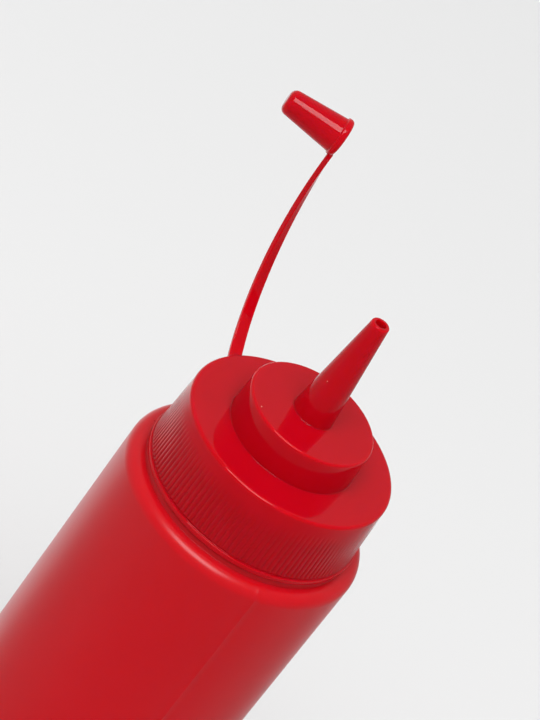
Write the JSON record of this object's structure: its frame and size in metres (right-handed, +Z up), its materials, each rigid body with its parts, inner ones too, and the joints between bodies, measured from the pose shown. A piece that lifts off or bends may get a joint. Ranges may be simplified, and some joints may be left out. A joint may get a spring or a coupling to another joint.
{
  "type": "squeeze bottle",
  "caption": "Round sauce squeeze bottle, closed by a ribbed screw cap with a raised disc, a cone nozzle, and a tip cap on a tether strap.",
  "frame": {"origin": "centre of the flat base that the bottle stands on, on the bottle's axis", "axes": "+Z up the bottle's axis towards the nozzle; +X the way the tip cap's mouth faces; the tether strap leaves the cap at the back left, between -X and +Y"},
  "size_m": [0.0848, 0.0727, 0.2731],
  "materials": {
    "satin_red": "satin blow-moulded polyethylene",
    "glossy_red": "glossy injection-moulded polyethylene"
  },
  "bodies": {
    "root": {"bottle": "satin_red", "screw_cap": "glossy_red"}
  },
  "joints": []
}
